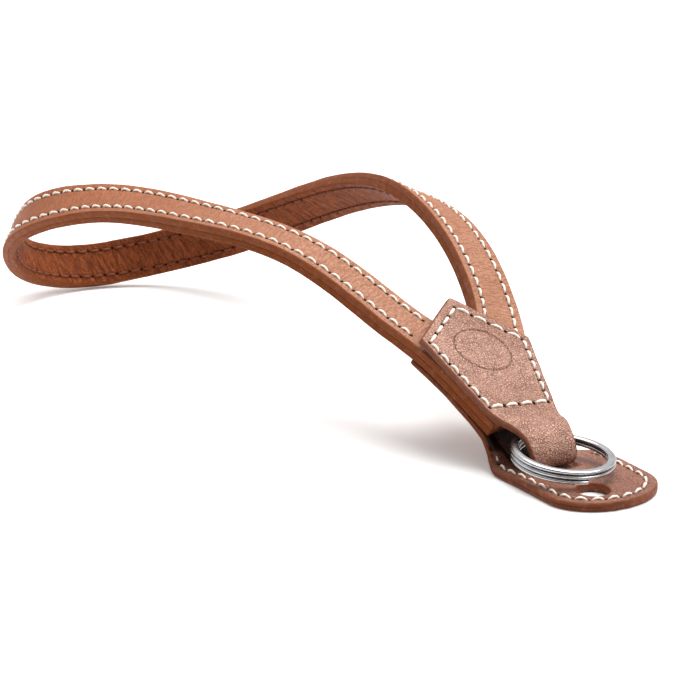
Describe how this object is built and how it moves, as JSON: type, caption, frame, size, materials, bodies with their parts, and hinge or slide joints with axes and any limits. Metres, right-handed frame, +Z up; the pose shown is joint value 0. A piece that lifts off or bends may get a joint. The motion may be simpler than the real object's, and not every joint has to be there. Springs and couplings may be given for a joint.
{
  "type": "camera hand strap",
  "caption": "Tan leather camera hand strap: a stitched band bent into a hand loop, a sewn patch over its ends, a steel split ring in the fold and a flap under the ring.",
  "frame": {"origin": "centre of the strap's outline, on the plane that it lies on", "axes": "+Z up, +Y from the flap and ring along the strap to the far end of the hand loop, +X to the right seen from the flap end"},
  "size_m": [0.0736, 0.1782, 0.0366],
  "materials": {
    "face_leather": "smooth, lightly waxed",
    "lining_leather": "matt, creased",
    "patch_leather": "fine pebbled grain",
    "flap_leather": "smooth, lightly waxed",
    "ring_steel": "polished nickel"
  },
  "bodies": {
    "strap": {"band_face": "face_leather", "band_lining": "lining_leather", "patch_fold": "patch_leather", "flap": "flap_leather"},
    "ring": {"split_ring": "ring_steel"}
  },
  "joints": [
    {"name": "ring_swing", "type": "hinge", "parent": "strap", "child": "ring", "pos_m": [0.014, -0.0676, 0.005], "axis": [-1, 0, 0], "range_deg": [0, 55]}
  ]
}
